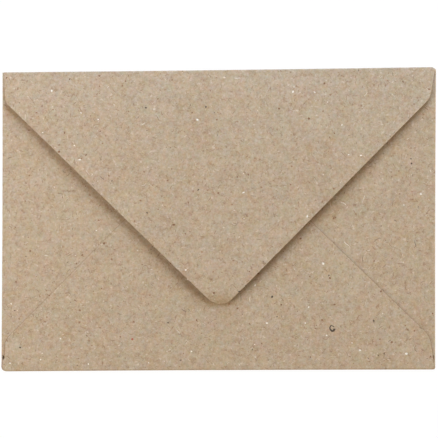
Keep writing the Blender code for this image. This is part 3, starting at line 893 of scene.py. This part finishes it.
STRAY_PULP = stray_pulp_steps()
pulp_material = pulp_bits("pulp_bits", [
    (0.0, (0.09, 0.065, 0.045)),
    (0.10, (0.25, 0.13, 0.065)),
    (0.34, (0.31, 0.18, 0.10)),
    (0.64, (0.38, 0.25, 0.15)),
    (0.74, (0.66, 0.57, 0.45)),
    (0.86, (0.92, 0.89, 0.81)),
    (0.996, (0.52, 0.10, 0.06)),
])
DARK, BROWN, WHITE, DYED_RED = 0.03, 0.2, 0.95, 1.0
ABOVE = 0.05  # the height from which drawn flecks are dropped onto their sheet


def drawn_flecks(flecks):
    """Points for single flecks of (across, up, size, kind), in millimetres from the envelope's middle."""
    drawn = bpy.data.meshes.new("drawn_flecks")
    drawn.from_pydata([(x / MILLIMETRES, y / MILLIMETRES, ABOVE) for x, y, _, _ in flecks], [], [])
    sizes = [size / MILLIMETRES for _, _, size, _ in flecks]
    kinds = [kind for _, _, _, kind in flecks]
    for name, values in (("fleck_size", sizes), ("kind", kinds)):
        drawn.attributes.new(name, "FLOAT", "POINT").data.foreach_set("value", values)
    return drawn


for sheet, seed, body, flecks in (
    (closure_flap, 4, "flap", [
        (-16.5, -1.7, 1.1, BROWN), (-12.1, -18.8, 0.7, WHITE), (54.3, 23.8, 0.7, WHITE),
        (49.7, 24.2, 0.6, WHITE), (-51.5, 41.1, 0.6, WHITE), (-54.1, 28.7, 0.6, WHITE),
        (-44.5, 55.2, 0.8, BROWN), (9.3, -15.9, 0.6, BROWN),
    ]),
    (bottom_flap, 11, "envelope", [
        (53.5, -49.7, 0.9, WHITE), (20.5, -29.3, 0.9, DARK), (39.9, -16.8, 1.0, WHITE),
        (58.8, -38.6, 0.7, DARK), (39.3, -38.2, 0.8, BROWN), (62.6, -51.1, 0.6, DARK),
        (-32.8, -45.1, 0.8, DYED_RED), (-79.7, -54.0, 0.6, WHITE), (40.9, -44.0, 0.6, WHITE),
        (71.0, -51.1, 1.0, WHITE),
    ]),
    (front_panel, 23, "envelope", []),
    (bpy.data.objects["left_side_flap_sheet"], 31, "envelope", [(-77.8, -33.9, 0.7, DARK)]),
    (bpy.data.objects["right_side_flap_sheet"], 42, "envelope", [(70.6, 5.1, 0.7, WHITE)]),
):
    bits = run_steps(sheet.name.replace("sheet", "fibres"), drawn_flecks(flecks), [
        (STRAY_PULP, {"Sheet": sheet, "Seed": seed, "Material": pulp_material}),
    ])
    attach(bits, body)

curled_sliver = run_steps("bottom_flap_sliver", empty_pattern(), [
    (curled_sliver_steps(), {
        "Sheet": bottom_flap, "Middle": Vector((0.0431, -0.0413, 0.0016)), "Material": pulp_material,
    }),
])
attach(curled_sliver, "envelope")

# Camera. It looks straight down on the back of the envelope, a little to one side of its middle, through a
# long lens.
camera_data = bpy.data.cameras.new("camera")
camera = bpy.data.objects.new("camera", camera_data)
bpy.context.scene.collection.objects.link(camera)
camera.location = (0.01796, -0.00174, 0.5)
camera.rotation_euler = [math.radians(angle) for angle in (0.2262, 1.9976, -0.469)]
camera_data.lens = 108.06
camera_data.sensor_width = 36.0
camera_data.clip_start = 0.01
camera_data.clip_end = 10.0
bpy.context.scene.camera = camera

# Floor. A plain white table top, which the camera sees as white apart from the envelope's faint shadow. It
# lies just low enough for the paper's waves to stay above it.
FLOOR_REACH = 3.0
FLOOR_DROP = 0.00005
WHITE_SHARE = 0.92  # of what the camera sees: the rest is the lit table, with the shadow

floor_mesh = bpy.data.meshes.new("floor")
square = ((-1, -1), (1, -1), (1, 1), (-1, 1))
floor_corners = [(x * FLOOR_REACH, y * FLOOR_REACH, -FLOOR_DROP) for x, y in square]
floor_mesh.from_pydata(floor_corners, [], [(0, 1, 2, 3)])
floor = bpy.data.objects.new("floor", floor_mesh)
bpy.context.scene.collection.objects.link(floor)
paint = Finish("white_table")
white = paint.add("ShaderNodeBsdfDiffuse", {"Color": (0.8, 0.8, 0.8, 1.0)})
glow = paint.add("ShaderNodeEmission", {"Color": (1.0, 1.0, 1.0, 1.0), "Strength": 1.04})
seen = paint.times(paint.add("ShaderNodeLightPath").outputs["Is Camera Ray"], WHITE_SHARE)
floor_mesh.materials.append(paint.end(paint.add("ShaderNodeMixShader", {0: seen, 1: white, 2: glow})))


# Light. A wide, low, coolish window beyond the top edge, turned a little to the right. Weaker, warmer lamps
# stand at the lower left, the right and the upper left. The room adds a little of the light that kraft throws
# back.
def lamp(name, heading, height, distance, size, power, colour):
    """An oval lamp that faces the envelope, at a compass heading and a height angle, both in degrees."""
    turn, lift = math.radians(heading), math.radians(height)
    towards = (math.sin(turn) * math.cos(lift), math.cos(turn) * math.cos(lift), math.sin(lift))
    place = Vector(towards) * distance
    data = bpy.data.lights.new(name, "AREA")
    data.shape = "ELLIPSE"
    data.size, data.size_y = size
    data.energy = power
    data.color = colour
    made = bpy.data.objects.new(name, data)
    bpy.context.scene.collection.objects.link(made)
    made.location = place
    made.rotation_euler = (-place).to_track_quat("-Z", "Y").to_euler()


lamp("window", 14.0, 28.5, 0.8, (1.09, 0.53), 7.2, (0.81, 1.0, 1.23))
lamp("near_lamp", 242.0, 19.5, 0.6, (0.3, 0.22), 1.9, (1.04, 1.0, 0.82))
lamp("side_fill", 104.0, 22.0, 0.55, (0.3, 0.3), 1.35, (1.18, 1.0, 0.72))
lamp("corner_lamp", 290.0, 50.0, 0.28, (0.15, 0.15), 0.16, (1.15, 1.0, 0.97))

world = bpy.data.worlds.new("room")
bpy.context.scene.world = world
world.use_nodes = True
paint = Tree(world.node_tree)
rays = paint.add("ShaderNodeLightPath").outputs
sky = paint.add("ShaderNodeBackground", {"Color": (0.08, 0.03, 0.01, 1.0), "Strength": 1.0})
backdrop = paint.add("ShaderNodeBackground", {"Color": (1.0, 1.0, 1.0, 1.0), "Strength": 1.0})
direct = paint.math("MAXIMUM", rays["Is Camera Ray"], rays["Is Glossy Ray"])
direct = paint.math("MAXIMUM", direct, rays["Is Transmission Ray"])
both = paint.add("ShaderNodeMixShader", {0: direct, 1: sky, 2: backdrop})
paint.add("ShaderNodeOutputWorld", {"Surface": both})

bpy.context.scene.view_settings.view_transform = "Standard"
